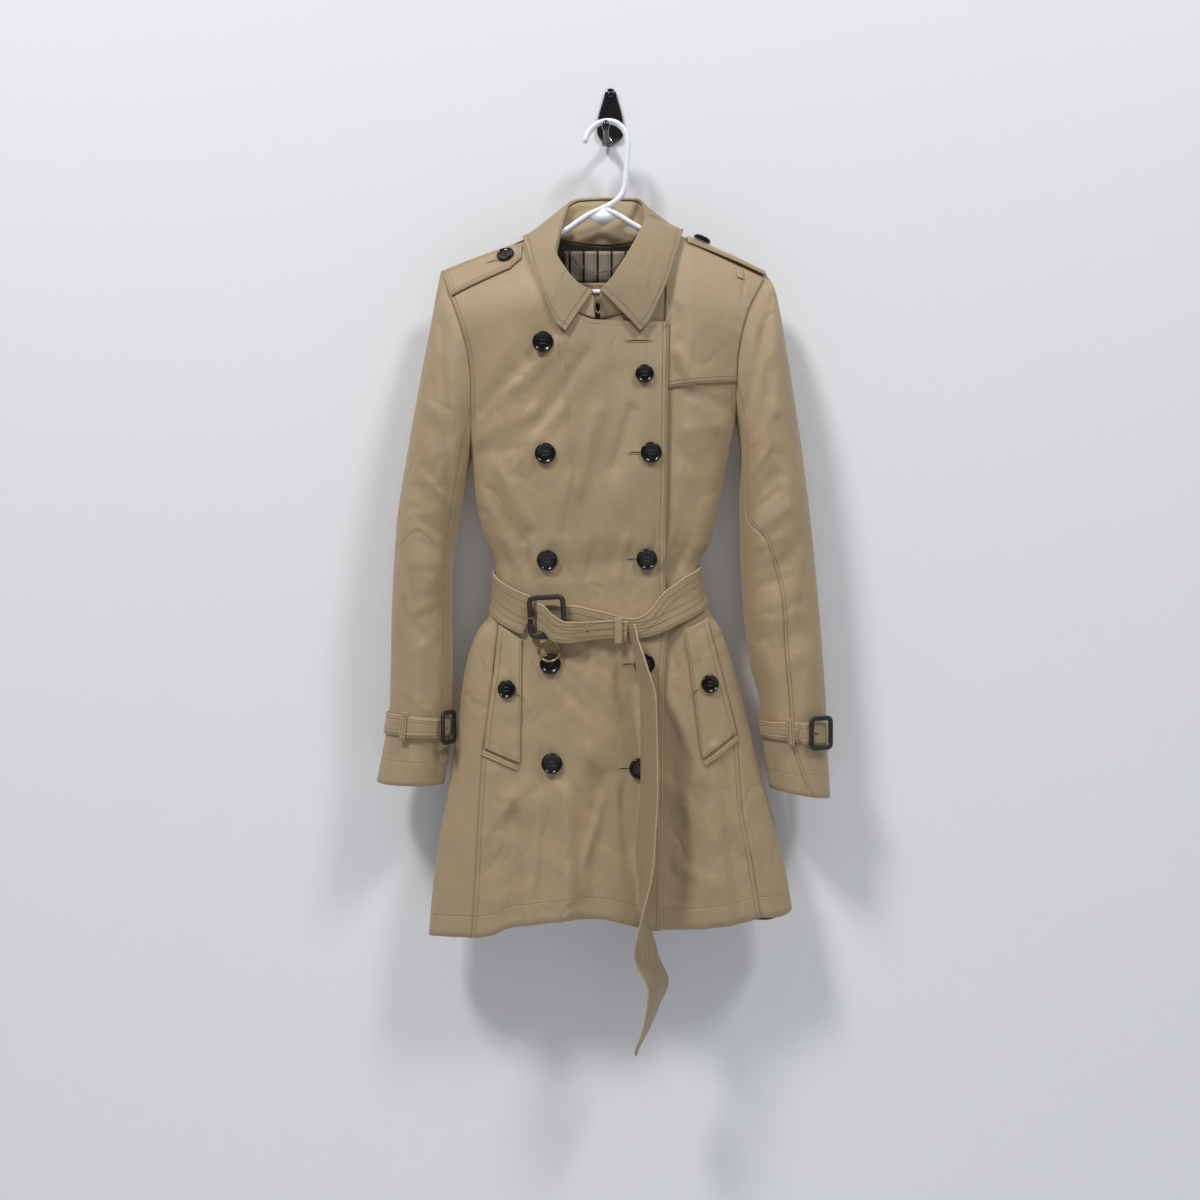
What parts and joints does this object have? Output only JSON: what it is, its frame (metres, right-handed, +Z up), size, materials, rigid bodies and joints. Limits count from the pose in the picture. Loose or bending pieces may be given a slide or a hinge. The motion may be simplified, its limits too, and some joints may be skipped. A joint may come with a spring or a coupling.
{
  "type": "trench coat on a hanger and wall hook",
  "caption": "Belted double-breasted honey trench coat, buttoned, hung on a white tube hanger from a black wall hook",
  "frame": {"origin": "the middle of the flat back of the wall hook's plate, on the wall", "axes": "+Y into the wall, +Z up, +X to the right of a viewer who faces the wall; the coat hangs on the -Y side"},
  "size_m": [0.5745, 0.158, 1.2302],
  "materials": {
    "gabardine": "matt cotton gabardine",
    "belt_gabardine": "matt cotton gabardine",
    "lining": "soft woven lining",
    "button_horn": "gloss",
    "buckle_leather": "glossy, leather-covered",
    "brass": "satin",
    "steel": "dark",
    "hanger_plastic": "semi-gloss",
    "hook_enamel": "gloss enamel"
  },
  "bodies": {
    "root": {"front_right": "gabardine", "front_left": "gabardine", "side_left": "gabardine", "back_left": "gabardine", "back_right": "gabardine", "side_right": "gabardine", "gun_flap": "gabardine", "storm_shield": "gabardine", "pocket_flap_left": "gabardine", "pocket_welt_left": "gabardine", "pocket_flap_right": "gabardine", "pocket_welt_right": "gabardine", "epaulette_left": "gabardine", "epaulette_right": "gabardine", "epaulette_loop": "gabardine", "neck_lining": "lining", "neck_facing": "gabardine", "collar_stand": "gabardine", "collar_fall": "gabardine", "top_sleeve_left": "gabardine", "under_sleeve_left": "gabardine", "top_sleeve_right": "gabardine", "under_sleeve_right": "gabardine", "cuff_strap_left": "gabardine", "cuff_tab_left": "gabardine", "cuff_loop_left": "gabardine", "cuff_strap_right": "gabardine", "cuff_tab_right": "gabardine", "cuff_loop_right": "gabardine", "cuff_buckle_left": "buckle_leather", "cuff_prong_left": "brass", "cuff_buckle_right": "buckle_leather", "cuff_prong_right": "brass", "belt": "belt_gabardine", "belt_tongue": "belt_gabardine", "belt_tail": "belt_gabardine", "belt_keeper": "belt_gabardine", "belt_buckle": "buckle_leather", "belt_prong": "brass", "d_ring": "brass", "d_ring_tab": "belt_gabardine", "button_left_1": "button_horn", "button_left_2": "button_horn", "button_left_3": "button_horn", "button_left_4": "button_horn", "button_left_5": "button_horn", "button_right_1": "button_horn", "button_right_2": "button_horn", "button_right_3": "button_horn", "button_right_4": "button_horn", "button_right_5": "button_horn", "button_pocket_left": "button_horn", "button_pocket_right": "button_horn", "button_epaulette_left": "button_horn", "button_epaulette_right": "button_horn", "neck_chain": "steel", "throat_hook": "steel", "hanger": "hanger_plastic", "wall_hook": "hook_enamel", "hook_screw": "hook_enamel"}
  },
  "joints": []
}
